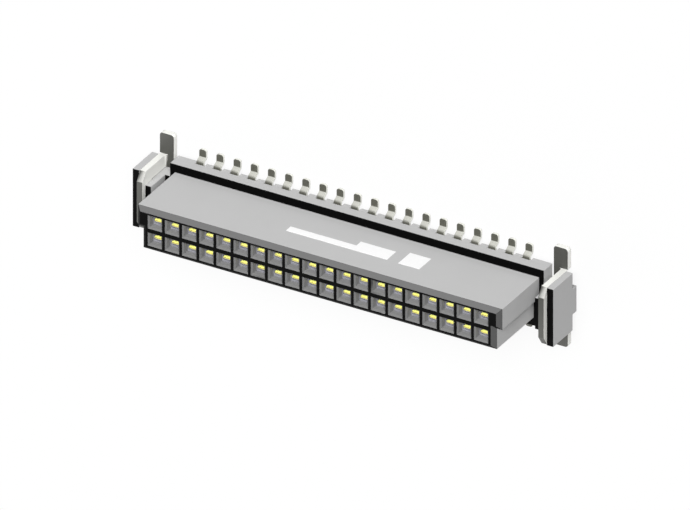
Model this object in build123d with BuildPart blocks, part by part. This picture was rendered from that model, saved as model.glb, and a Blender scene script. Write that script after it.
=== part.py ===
from build123d import *
import os

# Surface-mount female connector: two rows of spring contacts in one moulding, with a sheet-metal
# hold-down clip in the lug at each end. X runs along the rows, Y across them, and Z up from the
# board in the mating direction. The origin is on the board, under the middle of the contact field.
# Sizes are in millimetres.

# Contact field
columns = 20
pitch = 1.27
row_pitch = 1.27

# Heights above the board
standoff = 0.2
flange_height = 1.3
mating_height = 6.29

# Nose: its two halves end at different distances past the last contact, so it mates one way only
side_wall = 0.905
long_end_wall = 1.405
short_end_wall = 1.01
nose_chamfer = 0.3

# Flange around the foot of the nose
flange_ledge = 0.6
flange_end_wall = 1.76

# Sockets
mouth_length = 1.06
mouth_width = 0.98
funnel_depth = 0.1

# Contacts, each formed from one strip
sheet = 0.17
bend_ease = 0.1
tail_width = 0.51
beam_width = 0.51
contact_clearance = 0.02
tail_lift = 0.35
toe_reach = 0.915
foot_length = 0.58
heel_run = 0.19
toe_ease = 0.1
stem_height = 0.95
box_height = 1.0
beam_root = 0.5
touch_height = 5.3
touch_gap = 0.02
tip_height = 5.92
touch_ease = 0.12
tip_bevel = 0.11
tip_lead_in = 0.05

# Grooves under the flange that let the tails out
groove_width = 0.7
groove_clearance = 0.04

# End lugs
bridge_length = 0.375
lug_half_width = 1.15
rib_thickness = 0.42
rib_height = 3.1
plate_thickness = 0.475
plate_width = 4.24
plate_height = 3.1
plate_underside = 0.6
plate_foot_width = 1.9
plate_foot_underside = 0.1

# Hold-down clips
clip_sheet = 0.42
clip_clearance = 0.02
clip_bend_radius = 0.2
clip_height = 3.44
clip_corner_width = 0.64
clip_corner_height = 0.43
clip_bar_underside = 2.2
clip_leg_gap = 0.05
tab_length = 1.05
tab_outset = 0.035
tab_reach = 3.63
tab_corner_radius = 0.22

# Sizes that follow from those above
field_half = (columns - 1) * pitch / 2
nose_width = row_pitch + 2 * side_wall
flange_width = nose_width + 2 * flange_ledge
flange_half_length = field_half + flange_end_wall
socket_half_length = mouth_length / 2 - funnel_depth
socket_half_width = mouth_width / 2 - funnel_depth
stem_offset = socket_half_width - contact_clearance - sheet / 2
box_offset = socket_half_length - contact_clearance - sheet / 2
run_height = tail_lift + sheet / 2
box_base = run_height + stem_height
box_top = box_base + box_height
touch_offset = (touch_gap + sheet) / 2
rib_start = flange_half_length + bridge_length
clip_inner = rib_start + rib_thickness + clip_clearance
clip_outer = clip_inner + clip_sheet
tab_outer = clip_outer + tab_outset
tab_inner = tab_outer - tab_length
plate_inner = clip_outer + clip_clearance


def make_nose():
    """The block that enters the mating connector, with its chamfered rim and its offset ends."""
    with BuildPart() as nose:
        with BuildSketch(Plane.XY.offset(flange_height)):
            long_length = 2 * (field_half + long_end_wall)
            short_length = 2 * (field_half + short_end_wall)
            Rectangle(long_length, nose_width / 2, align=(Align.CENTER, Align.MIN))
            Rectangle(short_length, nose_width / 2, align=(Align.CENTER, Align.MAX))
        extrude(amount=mating_height - flange_height)
        rim = nose.faces().sort_by(Axis.Z)[-1].outer_wire()
        chamfer(rim.edges(), length=nose_chamfer)
    return nose


def make_sockets():
    """The space of every socket: a funnel at the mouth, then a straight way through to the board."""
    with BuildPart() as sockets:
        with BuildSketch(Plane.XY.offset(mating_height)):
            with GridLocations(pitch, row_pitch, columns, 2):
                Rectangle(mouth_length, mouth_width)
        extrude(amount=-funnel_depth, taper=45)
        with BuildSketch(Plane.XY.offset(mating_height)):
            with GridLocations(pitch, row_pitch, columns, 2):
                Rectangle(2 * socket_half_length, 2 * socket_half_width)
        extrude(amount=-mating_height)
    return sockets


def make_grooves():
    """The space of every tail groove, from its socket to the flange's side and open to the board."""
    groove_length = (flange_width - row_pitch) / 2
    with BuildPart() as grooves:
        with BuildSketch(Plane.XY):
            with GridLocations(pitch, row_pitch + groove_length, columns, 2):
                Rectangle(groove_width, groove_length)
        extrude(amount=tail_lift + sheet + groove_clearance)
    return grooves


def make_lug(end):
    """The lug at one end: bridge, rib, the web that the clip straddles, and the outer plate."""
    rib_end = clip_inner - clip_clearance
    lug_width = 2 * lug_half_width
    plate_plane = Plane(origin=(end * plate_inner, 0, 0), x_dir=(0, end, 0), z_dir=(end, 0, 0))
    stations = (
        (flange_half_length, rib_start, flange_height),
        (rib_start, rib_end, rib_height),
        (rib_end, plate_inner, clip_bar_underside - clip_clearance),
    )
    with BuildPart() as lug:
        for near, far, top in stations:
            with BuildSketch(Plane.XY.offset(standoff)):
                with Locations((end * (near + far) / 2, 0)):
                    Rectangle(far - near, lug_width)
            extrude(amount=top - standoff)
        with BuildSketch(plate_plane):
            with Locations((0, plate_underside)):
                plate_rise = plate_height - plate_underside
                Rectangle(plate_width, plate_rise, align=(Align.CENTER, Align.MIN))
            with Locations((0, plate_foot_underside)):
                foot_rise = plate_underside - plate_foot_underside
                Rectangle(plate_foot_width, foot_rise, align=(Align.CENTER, Align.MIN))
        extrude(amount=plate_thickness)
    return lug


def make_housing():
    """The moulding: flange, nose and lugs, less the sockets and the tail grooves."""
    nose = make_nose()
    sockets = make_sockets()
    grooves = make_grooves()
    lugs = [make_lug(end) for end in (-1, 1)]
    with BuildPart() as housing:
        with BuildSketch(Plane.XY.offset(standoff)):
            Rectangle(2 * flange_half_length, flange_width)
        extrude(amount=flange_height - standoff)
        add(nose.part)
        for lug in lugs:
            add(lug.part)
        add(sockets.part, mode=Mode.SUBTRACT)
        add(grooves.part, mode=Mode.SUBTRACT)
    return housing


def eased(points, ease):
    """The corners of a strip's middle line, each turned in two steps with a short flat between."""
    corners = [Vector(*point) for point in points]
    line = [corners[0]]
    for before, corner, after in zip(corners, corners[1:], corners[2:]):
        line.append(corner + (before - corner).normalized() * ease)
        line.append(corner + (after - corner).normalized() * ease)
    return line + [corners[-1]]


def make_beam(strip_plane):
    """The outer spring beam, drawn in to the middle of its socket, with a bevelled tip."""
    beam_line = (
        (stem_offset, box_top),
        (stem_offset, box_top + beam_root),
        (touch_offset, touch_height),
        (touch_offset, tip_height),
    )
    with BuildPart() as beam:
        with BuildSketch(strip_plane):
            with BuildLine():
                Polyline(eased(beam_line, touch_ease))
            trace(line_width=sheet)
            tip_front, tip_back = vertices().group_by(Axis.Y)[-1].sort_by(Axis.X)
            chamfer(tip_back, length=tip_bevel)
            chamfer(tip_front, length=tip_lead_in)
        extrude(amount=beam_width / 2, both=True)
    return beam


def make_contact(x, side):
    """One spring contact at x, in the row on the given side, with its tail leading outwards."""
    row = row_pitch / 2
    toe = flange_width / 2 + toe_reach - row
    heel = toe - foot_length
    tail_line = (
        (toe, sheet / 2),
        (heel, sheet / 2),
        (heel - heel_run, run_height),
        (stem_offset, run_height),
        (stem_offset, box_base),
    )
    box_line = (
        (stem_offset, beam_width / 2),
        (stem_offset, -box_offset),
        (-stem_offset, -box_offset),
        (-stem_offset, beam_width / 2),
    )
    strip_plane = Plane(origin=(x, side * row, 0), x_dir=(0, side, 0), z_dir=(side, 0, 0))
    box_plane = Plane(origin=(x, side * row, box_base), x_dir=(0, side, 0), z_dir=(0, 0, 1))
    middle_plane = Plane(origin=(x, side * row, 0), z_dir=(0, 1, 0))
    beam = make_beam(strip_plane)

    with BuildPart() as contact:
        with BuildSketch(strip_plane):
            with BuildLine():
                Polyline(eased(tail_line, bend_ease))
            trace(line_width=sheet)
        extrude(amount=tail_width / 2, both=True)
        toe_edges = contact.edges().filter_by(Axis.Z).group_by(Axis.Y)[-1 if side > 0 else 0]
        chamfer(toe_edges, length=toe_ease)

        with BuildSketch(box_plane):
            with BuildLine():
                Polyline(box_line)
            trace(line_width=sheet)
        extrude(amount=box_height)

        add(beam.part)
        add(mirror(beam.part, about=middle_plane, mode=Mode.PRIVATE))
    return contact


def make_clip(end):
    """One hold-down clip: a plate that straddles the lug's web, on two tabs bent in to the board."""
    leg_inner = lug_half_width + clip_leg_gap
    leg_outer = plate_width / 2
    outer_bend = clip_bend_radius + clip_sheet
    plate_plane = Plane(origin=(end * clip_inner, 0, 0), x_dir=(0, end, 0), z_dir=(end, 0, 0))

    with BuildPart() as clip:
        with BuildSketch(plate_plane) as outline:
            with Locations((0, outer_bend)):
                plate_rise = clip_height - outer_bend
                Rectangle(plate_width, plate_rise, align=(Align.CENTER, Align.MIN))
            top_corners = outline.vertices().group_by(Axis.Y)[-1]
            chamfer(top_corners, length=clip_corner_height, length2=clip_corner_width)
            with Locations((0, clip_bar_underside)):
                notch_rise = clip_bar_underside - outer_bend
                notch_align = (Align.CENTER, Align.MAX)
                Rectangle(2 * leg_inner, notch_rise, align=notch_align, mode=Mode.SUBTRACT)
        extrude(amount=clip_sheet)

        for way in (-1, 1):
            leg_plane = Plane.XZ.offset(-way * leg_inner)
            with BuildSketch(leg_plane):
                with BuildLine():
                    FilletPolyline(
                        (end * (clip_inner + clip_sheet / 2), 2 * outer_bend),
                        (end * (clip_inner + clip_sheet / 2), clip_sheet / 2),
                        (end * tab_inner, clip_sheet / 2),
                        radius=clip_bend_radius + clip_sheet / 2,
                    )
                trace(line_width=clip_sheet)
            extrude(amount=-way * (leg_outer - leg_inner))
            with BuildSketch(Plane.XY):
                with Locations((end * (tab_inner + tab_outer) / 2, way * (leg_outer + tab_reach) / 2)):
                    Rectangle(tab_length, tab_reach - leg_outer)
            extrude(amount=clip_sheet)
        upright = clip.edges().filter_by(Axis.Z)
        tab_ends = upright.filter_by(lambda edge: abs(edge.center().Y) > tab_reach - tab_corner_radius)
        fillet(tab_ends, radius=tab_corner_radius)
    return clip


def save(piece, name):
    """Labels a finished piece and writes it to its own file."""
    piece.part.label = name
    export_step(piece.part, f"parts/{name}.step")


os.makedirs("parts", exist_ok=True)

save(make_housing(), "housing")

for row_name, side in (("a", 1), ("b", -1)):
    for number in range(columns):
        x = (number - (columns - 1) / 2) * pitch
        save(make_contact(x, side), f"contact_{row_name}{number + 1:02d}")

for clip_name, end in (("left", -1), ("right", 1)):
    save(make_clip(end), f"hold_down_{clip_name}")
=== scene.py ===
"""Dresses the surface-mount connector: its finishes, formed contacts, print, light and camera.

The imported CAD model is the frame. The moulding and the hold-down clips stay as they are and get
softened edges and a finish. The contacts are formed again with smooth bends in their own places,
and Geometry Nodes repeat them along both rows. Lengths are in millimetres until a mesh is finished.
"""

import logging
import math
from collections.abc import Callable, Sequence
from dataclasses import dataclass
from enum import Enum
from typing import Any

import bmesh
import bpy
from mathutils import Matrix, Vector

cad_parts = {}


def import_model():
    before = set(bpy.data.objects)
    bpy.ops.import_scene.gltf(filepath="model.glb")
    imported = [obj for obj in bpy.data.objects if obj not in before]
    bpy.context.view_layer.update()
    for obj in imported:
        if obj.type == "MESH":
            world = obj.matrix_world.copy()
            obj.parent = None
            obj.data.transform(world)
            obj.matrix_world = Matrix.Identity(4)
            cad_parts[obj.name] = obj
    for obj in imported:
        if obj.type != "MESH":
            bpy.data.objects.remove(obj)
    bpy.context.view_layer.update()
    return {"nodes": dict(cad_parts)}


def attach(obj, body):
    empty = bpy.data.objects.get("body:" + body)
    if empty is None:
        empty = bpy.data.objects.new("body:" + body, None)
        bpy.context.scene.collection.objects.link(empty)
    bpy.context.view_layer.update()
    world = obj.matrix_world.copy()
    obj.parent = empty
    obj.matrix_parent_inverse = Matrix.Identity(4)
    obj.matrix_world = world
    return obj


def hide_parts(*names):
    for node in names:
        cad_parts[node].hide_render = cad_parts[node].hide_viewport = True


LOG = logging.getLogger("connector")
MM = 0.001
BODY = "root"

Point = tuple[float, float]
Colour = tuple[float, float, float, float]
Inputs = dict[int | str, Any]
WHITE: Colour = (1.0, 1.0, 1.0, 1.0)
BLACK: Colour = (0.0, 0.0, 0.0, 1.0)
NOISE_ROUGHNESS = 0.55

# How every mesh is finished: turns in degrees, and the weld's reach in millimetres
SHADED_SHARP = 32.0
BROKEN_SHARP = 38.0
FLAT_WITHIN = 0.5
WELD_WITHIN = 0.0005
EDGE_SEGMENTS = 2
EDGE_PROFILE = 0.6


def from_hex(code: str) -> Colour:
    """Turns a screen colour such as c4c4c4 into the linear colour that a shader takes.

    The screen's own curve is straight near black, and a power above that.

    Args:
        code: six hexadecimal digits.

    Returns:
        Linear red, green and blue, and an alpha of 1.
    """
    parts = [int(code[i : i + 2], 16) / 255 for i in (0, 2, 4)]
    linear = [p / 12.92 if p <= 0.04045 else ((p + 0.055) / 1.055) ** 2.4 for p in parts]
    return (linear[0], linear[1], linear[2], 1.0)


class Signal:
    """A node's value that Python's operators can work on, each adding its Math node."""

    def __init__(self, sheet: "NodeSheet", socket: bpy.types.NodeSocket) -> None:
        """Keeps the sheet that the value belongs to and the socket that gives it."""
        self.sheet = sheet
        self.socket = socket

    def _math(self, operation: str, first: Any, second: Any = None) -> "Signal":
        """Adds one Math node over one or two values."""
        inputs = {0: first} if second is None else {0: first, 1: second}
        return self.sheet.value("ShaderNodeMath", {"operation": operation}, inputs)

    def __add__(self, other: Any) -> "Signal":
        """This value plus another."""
        return self._math("ADD", self, other)

    __radd__ = __add__

    def __sub__(self, other: Any) -> "Signal":
        """This value less another."""
        return self._math("SUBTRACT", self, other)

    def __rsub__(self, other: Any) -> "Signal":
        """Another value less this one."""
        return self._math("SUBTRACT", other, self)

    def __mul__(self, other: Any) -> "Signal":
        """This value times another."""
        return self._math("MULTIPLY", self, other)

    __rmul__ = __mul__

    def __pow__(self, other: Any) -> "Signal":
        """This value raised to another."""
        return self._math("POWER", self, other)

    def size(self) -> "Signal":
        """This value without its sign."""
        return self._math("ABSOLUTE", self)

    def sign(self) -> "Signal":
        """1 for a value above 0 and -1 for one below."""
        return self._math("SIGN", self)

    def below(self, other: Any) -> "Signal":
        """1 where this value is less than another, and 0 elsewhere."""
        return self._math("LESS_THAN", self, other)

    def at_least(self, other: Any) -> "Signal":
        """The larger of this value and another."""
        return self._math("MAXIMUM", self, other)

    def at_most(self, other: Any) -> "Signal":
        """The smaller of this value and another."""
        return self._math("MINIMUM", self, other)

    def ramp(self, start: float, width: float) -> "Signal":
        """0 up to a start, then a straight rise to 1 over a width."""
        return ((self - start) * (1.0 / width)).at_least(0.0).at_most(1.0)

    def about(self, middle: float, spread: float) -> "Signal":
        """Noise from 0 to 1 turned into a value that is spread this widely about its middle."""
        return (self - 0.5) * spread + middle


class NodeSheet:
    """One node tree being written: a material's, the world's or a row of contacts'."""

    def __init__(self, tree: bpy.types.NodeTree) -> None:
        """Clears the tree and keeps it."""
        tree.nodes.clear()
        self.tree = tree

    @staticmethod
    def _pick(sockets: Any, key: int | str) -> bpy.types.NodeSocket:
        """Finds a socket by its identifier, or else by its name or number."""
        known = [socket for socket in sockets if socket.identifier == key]
        return known[0] if known else sockets[key]

    def node(
        self, kind: str, settings: dict[str, Any] | None = None, inputs: Inputs | None = None
    ) -> bpy.types.Node:
        """Adds a node, sets it up, then fills its sockets.

        Args:
            kind: the node's type name.
            settings: attributes that are set first, such as a Math node's operation.
            inputs: socket number, identifier or name to a value, a Signal or another socket.

        Returns:
            The new node.
        """
        made = self.tree.nodes.new(kind)
        for name, setting in (settings or {}).items():
            setattr(made, name, setting)
        for key, given in (inputs or {}).items():
            target = self._pick(made.inputs, key)
            if isinstance(given, Signal):
                given = given.socket
            if isinstance(given, bpy.types.NodeSocket):
                self.tree.links.new(given, target)
            else:
                target.default_value = given
        return made

    def value(
        self,
        kind: str,
        settings: dict[str, Any] | None = None,
        inputs: Inputs | None = None,
        output: int | str = 0,
    ) -> Signal:
        """Adds a node and gives one of its outputs as a Signal."""
        made = self.node(kind, settings, inputs)
        return Signal(self, self._pick(made.outputs, output))

    def blend(self, factor: Any, first: Any, second: Any) -> Signal:
        """Mixes two colours, all first at a factor of 0 and all second at 1."""
        inputs = {"Factor_Float": factor, "A_Color": first, "B_Color": second}
        return self.value("ShaderNodeMix", {"data_type": "RGBA"}, inputs, "Result_Color")

    def noise(self, place: Any, scale: float, detail: float = 3.0) -> Signal:
        """Adds soft noise from 0 to 1, with scale cycles to the metre."""
        inputs = {"Vector": place, "Scale": scale, "Detail": detail, "Roughness": NOISE_ROUGHNESS}
        return self.value("ShaderNodeTexNoise", {}, inputs, "Fac")

    def bump(self, height: Signal, strength: float, depth: float) -> Signal:
        """Turns a height from 0 to 1 into a disturbed normal, for a depth in metres."""
        inputs = {"Strength": strength, "Distance": depth, "Height": height}
        return self.value("ShaderNodeBump", {}, inputs)

    def place(self) -> Signal:
        """Where a point lies in the object's own axes, in metres."""
        return self.value("ShaderNodeTexCoord", output="Object")

    def split(self, vector: Any) -> tuple[Signal, ...]:
        """Gives a vector's X, Y and Z."""
        parts = self.node("ShaderNodeSeparateXYZ", {}, {0: vector}).outputs
        return tuple(Signal(self, part) for part in parts)

    def facing(self) -> tuple[Signal, Signal, Signal]:
        """Which way the surface itself faces, in the object's own axes.

        Returns:
            How far it faces +Z, from 0 on a side to 1 on a flat top, how far it faces -X or -Y,
            and how far it faces +X.
        """
        normal = self.value("ShaderNodeTexCoord", output="Normal")
        along, across, up = self.split(normal)
        away = (0.0 - along).at_least(0.0 - across).at_least(0.0)
        return up.at_least(0.0).at_most(1.0), away, along.at_least(0.0)

    def surface(self, inputs: Inputs) -> None:
        """Ends a material in one Principled shader with these inputs."""
        shader = self.node("ShaderNodeBsdfPrincipled", {}, inputs)
        self.node("ShaderNodeOutputMaterial", {}, {"Surface": shader.outputs[0]})


def new_material(name: str) -> tuple[bpy.types.Material, NodeSheet]:
    """Makes an empty node material.

    Args:
        name: the material's name.

    Returns:
        The material, and the sheet that fills it.
    """
    material = bpy.data.materials.new(name)
    material.use_nodes = True
    return material, NodeSheet(material.node_tree)


@dataclass(frozen=True)
class MouldedPlastic:
    """Grey moulded plastic with a fine spark-eroded grain, and painted shade: near black on faces
    that turn up towards the mating side, darker still where they also turn to -X, -Y or +X, and a
    darker grey painted inside the sockets.
    """

    name: str
    side: str = "c4c4c4"
    # Painted shade: the side colour inside the sockets, darker than outside where the cavities are
    # in shade.
    socket_shaded_side: str = "8f8f8f"
    # Painted shade: top is the colour painted on faces that face up; the powers set how soon it
    # comes as a face turns up, and the gains deepen it on faces that also turn to -X or -Y, or to
    # +X.
    top: str = "040404"
    top_shade_power: float = 0.8
    socket_top_shade_power: float = 2.9
    socket_half_length: float = 12.68 * MM
    socket_half_width: float = 1.18 * MM
    away_shade_gain: float = 0.72
    end_shade_gain: float = 0.18
    cloud_scale: float = 350.0
    cloud_depth: float = 0.06
    grain_scale: float = 9000.0
    grain_detail: float = 2.0
    grain_strength: float = 0.25
    grain_depth: float = 0.004 * MM
    roughness: float = 0.62
    rough_spread: float = 0.12
    specular: float = 0.03

    def material(self) -> bpy.types.Material:
        """Builds the plastic, whose colour and grain depend on the object's own axes; its shade is
        painted by which way each face turns and whether it lies in a socket.

        Returns:
            The material.
        """
        material, sheet = new_material(self.name)
        place = sheet.place()
        cloud = sheet.noise(place, self.cloud_scale)
        grain = sheet.noise(place, self.grain_scale, self.grain_detail)
        up, away, end = sheet.facing()
        along, across, _ = sheet.split(place)
        near_x = along.size().below(self.socket_half_length)
        near_y = across.size().below(self.socket_half_width)
        inside = near_x * near_y
        # Painted shade: faces that turn up go towards the near-black top, sooner inside the sockets
        # and on faces that also turn away.
        power = inside * (self.socket_top_shade_power - self.top_shade_power) + self.top_shade_power
        turned = up**power * (away * self.away_shade_gain + end * self.end_shade_gain + 1.0)
        # Painted shade: sides inside the sockets take the darker grey.
        side = sheet.blend(inside, from_hex(self.side), from_hex(self.socket_shaded_side))
        base = sheet.blend(turned.at_most(1.0), side, from_hex(self.top))
        sheet.surface(
            {
                "Base Color": sheet.blend(cloud * self.cloud_depth, base, BLACK),
                "Roughness": grain.about(self.roughness, self.rough_spread),
                "Specular IOR Level": self.specular,
                "Normal": sheet.bump(grain, self.grain_strength, self.grain_depth),
            }
        )
        return material


@dataclass(frozen=True)
class TinnedSheet:
    """Bright tinned sheet with faint rolling streaks, and painted shade: dark olive where it faces
    up, sooner where it also turns away.
    """

    name: str
    side: str = "fbfbf6"
    # Painted shade: top is the dark olive painted on faces that face up; the power and gain below
    # set how soon it comes as a face turns up, and how much sooner where it also turns to -X or -Y.
    top: str = "393935"
    dull: Colour = (0.2, 0.2, 0.18, 1.0)
    top_shade_power: float = 1.8
    away_shade_gain: float = 2.6
    streak_scale: float = 6000.0
    streak_stretch: float = 14.0
    streak_part: float = 0.08
    streak_strength: float = 0.1
    streak_depth: float = 0.002 * MM
    roughness: float = 0.5
    rough_spread: float = 0.16
    metallic: float = 0.12

    def material(self) -> bpy.types.Material:
        """Builds the tinned metal, with its streaks drawn out along Y and shade painted on faces
        that turn up.

        Returns:
            The material.
        """
        material, sheet = new_material(self.name)
        drawn = (1.0, 1.0 / self.streak_stretch, 1.0)
        stretched = sheet.value("ShaderNodeMapping", {}, {"Vector": sheet.place(), "Scale": drawn})
        streak = sheet.noise(stretched, self.streak_scale)
        up, away, _ = sheet.facing()
        # Painted shade: faces that turn up, and more so away, go dark olive.
        turned = (up**self.top_shade_power * (away * self.away_shade_gain + 1.0)).at_most(1.0)
        base = sheet.blend(turned, from_hex(self.side), from_hex(self.top))
        sheet.surface(
            {
                "Base Color": sheet.blend(streak * self.streak_part, base, self.dull),
                "Metallic": self.metallic,
                "Roughness": streak.about(self.roughness, self.rough_spread),
                "Normal": sheet.bump(streak, self.streak_strength, self.streak_depth),
            }
        )
        return material


@dataclass(frozen=True)
class SpringMetal:
    """Contact strip: gold at the tips, bare nickel in the socket, tinned from the stem down, with
    painted shade: darker where it faces up, the gold darker along the edge of its field, grey where
    it turns away and a dimmer gold where it turns fully away.
    """

    name: str
    gold: str = "f9f97c"
    # Painted shade: a darker gold along the edge of the plated field.
    gold_shaded: str = "b4a030"
    # Painted shade: a dimmer gold on plated faces that turn fully away to -X or -Y.
    gold_shaded_back: str = "d8c468"
    nickel: str = "b8b8c0"
    # Painted shade: the two greys below are the nickel where it faces up, above and below the gold
    # line.
    nickel_shaded_top: str = "5c5a58"
    rim_shaded: str = "86868e"
    tin: str = "f2f2ea"
    # Painted shade: the tin where it faces up.
    tin_shaded_top: str = "47473f"
    dull: Colour = (0.25, 0.24, 0.18, 1.0)
    gold_line: float = 5.785 * MM
    gold_fade: float = 0.04 * MM
    row_middle: float = 0.635 * MM
    gold_side: float = -0.052 * MM
    gold_side_fade: float = 0.02 * MM
    gold_deep_width: float = 0.08 * MM
    back_turn: float = 0.85
    back_fade: float = 0.1
    # Painted shade: how fast the gold gives way to the metal beneath as a face turns away.
    away_shade_loss: float = 1.4
    tin_line: float = 1.3 * MM
    tin_fade: float = 0.3 * MM
    tin_shade_power: float = 1.03
    nickel_shade_power: float = 2.0
    wear_scale: float = 5200.0
    wear_part: float = 0.06
    roughness: float = 0.45
    rough_spread: float = 0.14
    metallic: float = 0.2

    def material(self) -> bpy.types.Material:
        """Builds the strip's plating, which changes with its height and across its socket, with
        shade painted by which way each face turns.

        Returns:
            The material.
        """
        material, sheet = new_material(self.name)
        place = sheet.place()
        _, across, height = sheet.split(place)
        up, away, _ = sheet.facing()
        high = height.ramp(self.gold_line, self.gold_fade)
        # Painted shade: tin and nickel go darker as their faces turn up.
        tin = sheet.blend(up**self.tin_shade_power, from_hex(self.tin), from_hex(self.tin_shaded_top))
        level = sheet.blend(high, from_hex(self.rim_shaded), from_hex(self.nickel_shaded_top))
        bare = sheet.blend(up**self.nickel_shade_power, from_hex(self.nickel), level)
        lower = sheet.blend(height.ramp(self.tin_line, self.tin_fade), tin, bare)
        beside = across - across.sign() * self.row_middle
        tips = high * beside.ramp(self.gold_side, self.gold_side_fade)
        # Painted shade: the gold fades to the grey beneath on faces that turn to -X or -Y, and
        # where they turn fully away a dimmer gold is painted.
        lit = 1.0 - (away * self.away_shade_loss).at_most(1.0)
        # Painted shade: the gold darkens towards the edge of its field.
        gold_edge_shade = beside.ramp(self.gold_side, self.gold_deep_width)
        gold = sheet.blend(gold_edge_shade, from_hex(self.gold_shaded), from_hex(self.gold))
        front = sheet.blend(tips * lit, lower, gold)
        back = high * away.ramp(self.back_turn, self.back_fade)
        plated = sheet.blend(back, front, from_hex(self.gold_shaded_back))
        worn = sheet.noise(place, self.wear_scale)
        sheet.surface(
            {
                "Base Color": sheet.blend(worn * self.wear_part, plated, self.dull),
                "Metallic": self.metallic,
                "Roughness": worn.about(self.roughness, self.rough_spread),
            }
        )
        return material


@dataclass(frozen=True)
class PadInk:
    """White pad-printed ink, a little uneven in its film."""

    name: str
    colour: str = "ffffff"
    thin: str = "ececec"
    film_scale: float = 2600.0
    thin_part: float = 0.35
    roughness: float = 0.5
    rough_spread: float = 0.1
    specular: float = 0.3

    def material(self) -> bpy.types.Material:
        """Builds the ink.

        Returns:
            The material.
        """
        material, sheet = new_material(self.name)
        film = sheet.noise(sheet.place(), self.film_scale)
        thinned = film * self.thin_part
        sheet.surface(
            {
                "Base Color": sheet.blend(thinned, from_hex(self.colour), from_hex(self.thin)),
                "Roughness": film.about(self.roughness, self.rough_spread),
                "Specular IOR Level": self.specular,
            }
        )
        return material


def new_piece(
    name: str, shape: bmesh.types.BMesh, material: bpy.types.Material
) -> bpy.types.Object:
    """Turns a shape drawn in millimetres into a piece in metres.

    Args:
        name: the piece's name.
        shape: the shape, which is freed.
        material: its finish.

    Returns:
        The new object, linked to the scene.
    """
    bmesh.ops.recalc_face_normals(shape, faces=shape.faces)
    shape.transform(Matrix.Scale(MM, 4))
    mesh = bpy.data.meshes.new(name)
    shape.to_mesh(mesh)
    shape.free()
    mesh.materials.append(material)
    mesh.shade_smooth()
    mesh.set_sharp_from_angle(angle=math.radians(SHADED_SHARP))
    piece = bpy.data.objects.new(name, mesh)
    bpy.context.scene.collection.objects.link(piece)
    return piece


def dress_node(
    node: bpy.types.Object, material: bpy.types.Material, width: float, sharper_than: float
) -> None:
    """Gives a CAD node its finish, and breaks its sharp edges as a mould or a press leaves them.

    Args:
        node: the node, whose own mesh stays as it is.
        material: its finish.
        width: the width of the broken edge in millimetres.
        sharper_than: the least turn, in degrees, of an edge that is broken.
    """
    node.data.materials.clear()
    node.data.materials.append(material)
    weld = node.modifiers.new("weld", "WELD")
    weld.merge_threshold = WELD_WITHIN * MM
    flats = node.modifiers.new("flats", "DECIMATE")
    flats.decimate_type = "DISSOLVE"
    flats.angle_limit = math.radians(FLAT_WITHIN)
    edge = node.modifiers.new("edges", "BEVEL")
    edge.width = width * MM
    edge.segments = EDGE_SEGMENTS
    edge.limit_method = "ANGLE"
    edge.angle_limit = math.radians(sharper_than)
    edge.use_clamp_overlap = False
    edge.harden_normals = True


@dataclass(frozen=True)
class Station:
    """One place along a strip: its middle, the metal to each side of it, and half its width.

    A cut takes that much off one corner of the strip's right side.
    """

    middle: Vector
    left: float
    right: float
    half_width: float
    cut: float = 0.0


def round_corners(points: Sequence[Point], radius: float, steps: int = 4) -> list[Vector]:
    """Replaces each inner corner of a line with an arc.

    Args:
        points: the corners.
        radius: the arcs' radius.
        steps: how many chords each arc has.

    Returns:
        The rounded line's points.
    """
    corners = [Vector(point) for point in points]
    line = [corners[0]]
    for before, corner, after in zip(corners, corners[1:], corners[2:]):
        back = (before - corner).normalized()
        ahead = (after - corner).normalized()
        half = back.angle(ahead) / 2
        centre = corner + (back + ahead).normalized() * (radius / math.sin(half))
        start = corner + back * (radius / math.tan(half)) - centre
        end = corner + ahead * (radius / math.tan(half)) - centre
        turn = start.angle(end)
        for step in range(steps + 1):
            part = step / steps
            swing = start * math.sin((1 - part) * turn) + end * math.sin(part * turn)
            line.append(centre + swing / math.sin(turn))
    line.append(corners[-1])
    return line


def add_strip(
    shape: bmesh.types.BMesh,
    stations: Sequence[Station],
    place: Callable[[Vector, float], Vector],
) -> None:
    """Adds one closed length of strip to a shape.

    Args:
        shape: what it is added to.
        stations: the places along it.
        place: turns a point in the strip's plane, and a distance across it, into a point in space.
    """
    rings = []
    for index, station in enumerate(stations):
        before = stations[max(index - 1, 0)].middle
        after = stations[min(index + 1, len(stations) - 1)].middle
        along = (after - before).normalized()
        across = Vector((-along.y, along.x))
        inner = station.middle + across * station.left
        outer = station.middle - across * station.right
        half = station.half_width
        corners = ((inner, -half), (inner, half), (outer, half), (outer, station.cut - half))
        rings.append([shape.verts.new(place(*corner)) for corner in corners])
    join_rings(shape, list(zip(rings, rings[1:])))
    shape.faces.new(rings[0])
    shape.faces.new(rings[-1][::-1])


def join_rings(
    shape: bmesh.types.BMesh,
    pairs: Sequence[tuple[list[bmesh.types.BMVert], list[bmesh.types.BMVert]]],
) -> None:
    """Joins pairs of rings, with as many points in each, by bands of four-sided faces.

    Args:
        shape: the shape that the rings' points belong to.
        pairs: each ring and the one that follows it.
    """
    for ring, following in pairs:
        for index in range(len(ring)):
            other = (index + 1) % len(ring)
            shape.faces.new((ring[index], ring[other], following[other], following[index]))


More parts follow.
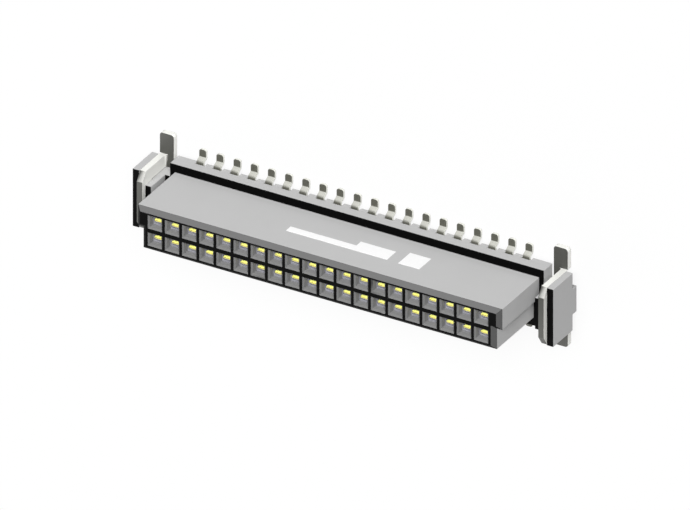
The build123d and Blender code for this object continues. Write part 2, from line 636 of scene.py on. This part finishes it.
def rounded_outline(half_x: float, half_y: float, radius: float, steps: int = 2) -> list[Point]:
    """Draws a rectangle with rounded corners about the origin.

    Args:
        half_x: half its length in X.
        half_y: half its length in Y.
        radius: its corners' radius.
        steps: how many chords each corner has.

    Returns:
        Its points, once round.
    """
    outline = []
    for corner in range(4):
        way_x = 1 if corner in (0, 3) else -1
        way_y = 1 if corner in (0, 1) else -1
        for step in range(steps + 1):
            angle = (corner + step / steps) * math.pi / 2
            x = way_x * (half_x - radius) + radius * math.cos(angle)
            y = way_y * (half_y - radius) + radius * math.sin(angle)
            outline.append((x, y))
    return outline


def add_tube(
    shape: bmesh.types.BMesh,
    outer: Sequence[Point],
    inner: Sequence[Point],
    low: float,
    high: float,
) -> None:
    """Adds an upright tube with open ends.

    Args:
        shape: what it is added to.
        outer: its outside, seen from above.
        inner: its inside, with as many points.
        low: the height of its lower end.
        high: the height of its upper end.
    """
    loops = ((outer, low), (outer, high), (inner, high), (inner, low))
    rings = [[shape.verts.new((x, y, z)) for x, y in line] for line, z in loops]
    join_rings(shape, list(zip(rings, rings[1:] + rings[:1])))


def break_edges(shape: bmesh.types.BMesh, width: float) -> None:
    """Rounds every edge of a shape that is sharper than a bend.

    Args:
        shape: the shape.
        width: the width of the rounded edge in millimetres.
    """
    bmesh.ops.recalc_face_normals(shape, faces=shape.faces)
    least = math.radians(BROKEN_SHARP)
    bmesh.ops.bevel(
        shape,
        geom=[edge for edge in shape.edges if edge.calc_face_angle(0.0) > least],
        offset=width,
        segments=EDGE_SEGMENTS,
        profile=EDGE_PROFILE,
        affect="EDGES",
        clamp_overlap=True,
    )


class Row(Enum):
    """The two rows of contacts, each with the side of the middle plane that it lies on."""

    A = 1
    B = -1

    def nodes(self, columns: int) -> list[str]:
        """The CAD nodes of this row's contacts."""
        return [f"contact_{self.name.lower()}{number:02d}" for number in range(1, columns + 1)]


class RowTree:
    """The Geometry Nodes tree that repeats one contact along a row."""

    INPUTS = (
        ("Geometry", "NodeSocketGeometry"),
        ("Columns", "NodeSocketInt"),
        ("Pitch", "NodeSocketFloat"),
        ("Row Offset", "NodeSocketFloat"),
        ("Turn", "NodeSocketFloat"),
        ("Finish", "NodeSocketMaterial"),
    )

    def __init__(self) -> None:
        """Gives the tree its named inputs and its output, then writes its nodes."""
        self.tree = bpy.data.node_groups.new("contact_row", "GeometryNodeTree")
        face = self.tree.interface
        for name, kind in self.INPUTS:
            face.new_socket(name, in_out="INPUT", socket_type=kind)
        face.new_socket("Geometry", in_out="OUTPUT", socket_type="NodeSocketGeometry")
        self._write(NodeSheet(self.tree))

    def _write(self, sheet: NodeSheet) -> None:
        """Lays the points of one row, puts a contact on each and makes them real.

        Args:
            sheet: the sheet that fills the tree.
        """
        given = sheet.node("NodeGroupInput").outputs
        columns = Signal(sheet, given["Columns"])
        first_x = (columns - 1.0) * given["Pitch"] * -0.5
        offset = given["Row Offset"]
        start = sheet.value("ShaderNodeCombineXYZ", {}, {"X": first_x, "Y": offset})
        step = sheet.value("ShaderNodeCombineXYZ", {}, {"X": given["Pitch"]})
        turn = sheet.value("ShaderNodeCombineXYZ", {}, {"Z": given["Turn"]})
        line = sheet.value(
            "GeometryNodeMeshLine",
            {"mode": "OFFSET"},
            {"Count": columns, "Start Location": start, "Offset": step},
        )
        placed = sheet.value(
            "GeometryNodeInstanceOnPoints",
            {},
            {"Points": line, "Instance": given["Geometry"], "Rotation": turn},
        )
        real = sheet.value("GeometryNodeRealizeInstances", {}, {"Geometry": placed})
        finish = {"Geometry": real, "Material": given["Finish"]}
        dressed = sheet.value("GeometryNodeSetMaterial", {}, finish)
        sheet.node("NodeGroupOutput", {}, {"Geometry": dressed})

    def grow(self, seed: bpy.types.Object, values: dict[str, Any]) -> bpy.types.Mesh:
        """Runs the tree on a seed object and gives the result as a plain mesh.

        Args:
            seed: the object whose mesh is repeated, which is removed afterwards.
            values: each named input's value.

        Returns:
            The repeated mesh.
        """
        modifier = seed.modifiers.new("repeat", "NODES")
        modifier.node_group = self.tree
        for item in self.tree.interface.items_tree:
            if item.item_type == "SOCKET" and item.in_out == "INPUT" and item.name in values:
                modifier[item.identifier] = values[item.name]
        graph = bpy.context.evaluated_depsgraph_get()
        mesh = bpy.data.meshes.new_from_object(seed.evaluated_get(graph), depsgraph=graph)
        seed.modifiers.remove(modifier)
        bpy.data.objects.remove(seed)
        return mesh


@dataclass
class Contacts:
    """The spring contacts, formed from strip and repeated along both rows."""

    columns: int = 20
    pitch: float = 1.27
    row_pitch: float = 1.27
    sheet: float = 0.17
    tail_width: float = 0.51
    beam_width: float = 0.51
    toe: float = 2.42
    foot_length: float = 0.58
    heel_run: float = 0.19
    run_height: float = 0.435
    box_base: float = 1.385
    box_height: float = 1.0
    stem_offset: float = 0.285
    box_offset: float = 0.325
    beam_root: float = 0.5
    touch_offset: float = 0.095
    touch_height: float = 5.3
    tip_height: float = 5.92
    tip_bevel: float = 0.11
    tip_lead_in: float = 0.05
    tip_cut: float = 0.12
    collar_top: float = 5.78
    collar_sheet: float = 0.05
    collar_half_x: float = 0.415
    collar_half_y: float = 0.375
    collar_radius: float = 0.07
    toe_radius: float = 0.16
    toe_steps: int = 5
    tail_bend: float = 0.13
    box_bend: float = 0.14
    beam_bend: float = 0.5
    edge_width: float = 0.012
    finish: SpringMetal = SpringMetal("contact_plating")

    def _plain(self, line: Sequence[Vector], half_width: float) -> list[Station]:
        """Stations of even thickness and width along a line."""
        half = self.sheet / 2
        return [Station(middle, half, half, half_width) for middle in line]

    def _tail(self) -> list[Station]:
        """The foot with its rounded toe, the slope, the run under the flange and the stem.

        Returns:
            Its stations, from the toe up.
        """
        half = self.sheet / 2
        heel = self.toe - self.foot_length
        line = round_corners(
            (
                (self.toe, half),
                (heel, half),
                (heel - self.heel_run, self.run_height),
                (self.stem_offset, self.run_height),
                (self.stem_offset, self.box_base + self.sheet),
            ),
            self.tail_bend,
        )
        half_width = self.tail_width / 2
        toe = []
        for step in range(self.toe_steps):
            angle = (1 - step / self.toe_steps) * math.pi / 2
            back = self.toe_radius * (1 - math.sin(angle))
            narrow = half_width - self.toe_radius * (1 - math.cos(angle))
            toe.append(Station(Vector((self.toe - back, half)), half, half, narrow))
        past_toe = Vector((self.toe - self.toe_radius, half))
        return toe + self._plain([past_toe, *line[1:]], half_width)

    def _box(self) -> list[Station]:
        """The band that joins the two beams, round three sides of the socket.

        Returns:
            Its stations, from one open end to the other.
        """
        line = round_corners(
            (
                (-self.beam_width / 2, self.stem_offset),
                (self.box_offset, self.stem_offset),
                (self.box_offset, -self.stem_offset),
                (-self.beam_width / 2, -self.stem_offset),
            ),
            self.box_bend,
        )
        return self._plain(line, self.box_height / 2)

    def _beam(self) -> list[Station]:
        """The outer beam, from the band up to its bevelled tip.

        Returns:
            Its stations, from the root up.
        """
        box_top = self.box_base + self.box_height
        line = round_corners(
            (
                (self.stem_offset, box_top - self.sheet),
                (self.stem_offset, box_top + self.beam_root),
                (self.touch_offset, self.touch_height),
                (self.touch_offset, self.tip_height),
            ),
            self.beam_bend,
        )
        half = self.sheet / 2
        half_width = self.beam_width / 2
        tip = []
        for back, cut in (
            (2 * self.tip_bevel, 0.0),
            (self.tip_bevel, self.tip_cut),
            (self.tip_lead_in, self.tip_cut / 2),
            (0.0, 0.0),
        ):
            middle = Vector((self.touch_offset, self.tip_height - back))
            inner = half - max(self.tip_lead_in - back, 0.0)
            outer = half - max(self.tip_bevel - back, 0.0)
            tip.append(Station(middle, inner, outer, half_width, cut))
        return self._plain(line[:-1], half_width) + tip

    def _collar(self, shape: bmesh.types.BMesh) -> None:
        """Adds the thin body that lines the socket, from the band up to below the beams' tips.

        Args:
            shape: what it is added to.
        """
        thin = self.collar_sheet
        half_x = self.collar_half_x
        half_y = self.collar_half_y
        outer = rounded_outline(half_x, half_y, self.collar_radius)
        inner = rounded_outline(half_x - thin, half_y - thin, self.collar_radius - thin)
        add_tube(shape, outer, inner, self.box_base + self.box_height / 2, self.collar_top)

    def _seed(self, material: bpy.types.Material) -> bpy.types.Object:
        """Makes one contact about its own seat, with its tail leading to +Y.

        Args:
            material: its finish.

        Returns:
            The contact that a row repeats.
        """
        middle_height = self.box_base + self.box_height / 2
        shape = bmesh.new()
        add_strip(shape, self._tail(), lambda at, across: Vector((across, at.x, at.y)))
        add_strip(shape, self._beam(), lambda at, across: Vector((across, at.x, at.y)))
        add_strip(shape, self._beam(), lambda at, across: Vector((-across, -at.x, at.y)))
        add_strip(
            shape, self._box(), lambda at, across: Vector((at.x, at.y, middle_height + across))
        )
        break_edges(shape, self.edge_width)
        self._collar(shape)
        return new_piece("contact_seed", shape, material)

    def build(self) -> list[bpy.types.Object]:
        """Makes both rows, one piece to a row, in the places of their CAD nodes.

        Returns:
            The two rows.
        """
        material = self.finish.material()
        tree = RowTree()
        pieces = []
        for row in Row:
            values = {
                "Columns": self.columns,
                "Pitch": self.pitch * MM,
                "Row Offset": row.value * self.row_pitch / 2 * MM,
                "Turn": 0.0 if row is Row.A else math.pi,
                "Finish": material,
            }
            mesh = tree.grow(self._seed(material), values)
            name = f"contacts_row_{row.name.lower()}"
            mesh.name = name
            piece = bpy.data.objects.new(name, mesh)
            bpy.context.scene.collection.objects.link(piece)
            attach(piece, BODY)
            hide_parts(*row.nodes(self.columns))
            LOG.info("%s: %d contacts, %d faces", name, self.columns, len(mesh.polygons))
            pieces.append(piece)
        return pieces


@dataclass
class Moulding:
    """The housing, and the print on its long side."""

    edge_width: float = 0.022
    edge_turn: float = 60.0
    nose_side: float = 1.54
    film: float = 0.012
    bar_left: float = -3.57
    bar_step: float = 1.3
    bar_right: float = 3.9
    bar_low: float = 3.04
    bar_middle: float = 3.61
    bar_high: float = 4.2
    square_left: float = 4.75
    square_right: float = 6.3
    square_low: float = 2.7
    square_high: float = 4.23
    plastic: MouldedPlastic = MouldedPlastic("moulded_grey")
    ink: PadInk = PadInk("white_ink")

    def dress(self, housing: bpy.types.Object) -> None:
        """Finishes the CAD moulding itself."""
        dress_node(housing, self.plastic.material(), self.edge_width, self.edge_turn)
        LOG.info("housing: moulded grey, edges broken")

    def _film(
        self, name: str, outline: Sequence[Point], material: bpy.types.Material
    ) -> bpy.types.Object:
        """Lays one field of ink on the long side.

        Args:
            name: the piece's name.
            outline: its corners, in X and Z.
            material: the ink.

        Returns:
            The new piece.
        """
        shape = bmesh.new()
        flat = shape.faces.new([shape.verts.new((x, self.nose_side, z)) for x, z in outline])
        raised = bmesh.ops.extrude_face_region(shape, geom=[flat])
        moved = [item for item in raised["geom"] if isinstance(item, bmesh.types.BMVert)]
        bmesh.ops.translate(shape, verts=moved, vec=(0.0, self.film, 0.0))
        piece = new_piece(name, shape, material)
        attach(piece, BODY)
        LOG.info("%s: one field of ink", name)
        return piece

    def print_fields(self) -> list[bpy.types.Object]:
        """Lays the stepped bar and the square beside it.

        Returns:
            The two films of ink.
        """
        material = self.ink.material()
        bar = (
            (self.bar_left, self.bar_middle),
            (self.bar_step, self.bar_middle),
            (self.bar_step, self.bar_low),
            (self.bar_right, self.bar_low),
            (self.bar_right, self.bar_high),
            (self.bar_left, self.bar_high),
        )
        square = (
            (self.square_left, self.square_low),
            (self.square_right, self.square_low),
            (self.square_right, self.square_high),
            (self.square_left, self.square_high),
        )
        outlines = (("print_bar", bar), ("print_square", square))
        return [self._film(name, outline, material) for name, outline in outlines]


@dataclass
class HoldDowns:
    """The two sheet-metal clips in the end lugs."""

    edge_width: float = 0.018
    edge_turn: float = 25.0
    finish: TinnedSheet = TinnedSheet("tinned_sheet")

    def dress(self, clips: Sequence[bpy.types.Object]) -> None:
        """Finishes the CAD clips themselves.

        Args:
            clips: the two clips' nodes.
        """
        material = self.finish.material()
        for clip in clips:
            dress_node(clip, material, self.edge_width, self.edge_turn)
            LOG.info("%s: tinned sheet, edges broken", clip.name)


@dataclass(frozen=True)
class Lamp:
    """One broad, distant lamp: its strength where it strikes squarely, and where it stands."""

    name: str
    strength: float
    stands: tuple[float, float, float]
    angle: float


@dataclass
class Studio:
    """Floor, light and camera."""

    ambient: float = 0.18
    lamps: tuple[Lamp, ...] = (
        Lamp("fill", 0.695, (0.433, 0.5, 0.75), 25.0),
        Lamp("key", 0.785, (0.08, 0.5, 0.862), 40.0),
        Lamp("back", 0.47, (-0.65, -0.65, 0.39), 60.0),
    )
    floor_half: float = 2000.0
    floor_gap: float = 0.02
    floor_grey: float = 0.25
    floor_seen: float = 0.645
    floor_white: float = 0.88
    pixels_wide: int = 690
    pixels_per_mm: float = 15.61
    target: tuple[float, float, float] = (0.086, 0.176, 2.98)
    view_right: tuple[float, float, float] = (0.8660254, 0.0, -0.5)
    view_up: tuple[float, float, float] = (-0.25, 0.8660254, -0.4330127)
    distance: float = 200.0
    sight: float = 2000.0

    @staticmethod
    def _seen_or_mirrored(sheet: NodeSheet) -> Signal:
        """Tells what the camera sees, straight or in a gloss, from light on the object.

        Args:
            sheet: the sheet that uses it.

        Returns:
            1 for what the camera sees, and 0 for light on the object.
        """
        path = sheet.node("ShaderNodeLightPath")
        seen = Signal(sheet, path.outputs["Is Camera Ray"])
        mirrored = Signal(sheet, path.outputs["Is Glossy Ray"])
        through = Signal(sheet, path.outputs["Is Transmission Ray"])
        return (seen + mirrored + through).at_most(1.0)

    def world(self) -> None:
        """Even white light all round, and a white background."""
        world = bpy.data.worlds.new("studio")
        world.use_nodes = True
        sheet = NodeSheet(world.node_tree)
        seen = self._seen_or_mirrored(sheet)
        strength = seen * (1.0 - self.ambient) + self.ambient
        light = sheet.node("ShaderNodeBackground", {}, {"Color": WHITE, "Strength": strength})
        sheet.node("ShaderNodeOutputWorld", {}, {"Surface": light.outputs[0]})
        bpy.context.scene.world = world

    def light(self, lamp: Lamp) -> None:
        """Hangs one lamp.

        Args:
            lamp: its size, strength and place.
        """
        sun = bpy.data.lights.new(lamp.name, "SUN")
        sun.energy = lamp.strength * math.pi
        sun.angle = math.radians(lamp.angle)
        holder = bpy.data.objects.new(lamp.name, sun)
        holder.rotation_euler = Vector(lamp.stands).to_track_quat("Z", "Y").to_euler()
        bpy.context.scene.collection.objects.link(holder)

    def floor(self) -> None:
        """A plain pale floor that still takes the object's shadow."""
        material, sheet = new_material("pale_floor")
        seen = self._seen_or_mirrored(sheet)
        tone = seen * (self.floor_seen - self.floor_grey) + self.floor_grey
        matt = sheet.node("ShaderNodeBsdfDiffuse", {}, {"Color": tone})
        white = sheet.node("ShaderNodeEmission", {}, {"Color": WHITE})
        mixed = sheet.node(
            "ShaderNodeMixShader",
            {},
            {0: seen * self.floor_white, 1: matt.outputs[0], 2: white.outputs[0]},
        )
        sheet.node("ShaderNodeOutputMaterial", {}, {"Surface": mixed.outputs[0]})
        shape = bmesh.new()
        bmesh.ops.create_grid(shape, x_segments=1, y_segments=1, size=self.floor_half)
        bmesh.ops.translate(shape, verts=shape.verts, vec=(0.0, 0.0, -self.floor_gap))
        new_piece("floor", shape, material)

    def camera(self) -> None:
        """A parallel view onto the mating face, rolled as the photograph is."""
        data = bpy.data.cameras.new("camera")
        data.type = "ORTHO"
        data.ortho_scale = self.pixels_wide / self.pixels_per_mm * MM
        data.clip_end = self.sight * MM
        right = Vector(self.view_right)
        up = Vector(self.view_up)
        back = right.cross(up)
        camera = bpy.data.objects.new("camera", data)
        turn = Matrix((right, up, back)).transposed()
        camera.rotation_euler = turn.to_euler()
        camera.location = (Vector(self.target) + back * self.distance) * MM
        bpy.context.scene.collection.objects.link(camera)
        bpy.context.scene.camera = camera

    def build(self) -> None:
        """Sets up the whole studio."""
        bpy.context.scene.view_settings.view_transform = "Standard"
        self.world()
        for lamp in self.lamps:
            self.light(lamp)
        self.floor()
        self.camera()
        LOG.info("studio: floor, %d lamps and camera", len(self.lamps))


def main() -> None:
    """Builds and dresses every piece, in order."""
    logging.basicConfig(level=logging.INFO, format="%(message)s")
    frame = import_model()
    nodes = frame["nodes"]
    moulding = Moulding()
    moulding.dress(nodes["housing"])
    moulding.print_fields()
    HoldDowns().dress([nodes["hold_down_left"], nodes["hold_down_right"]])
    Contacts().build()
    Studio().build()


if __name__ == "__main__":
    main()
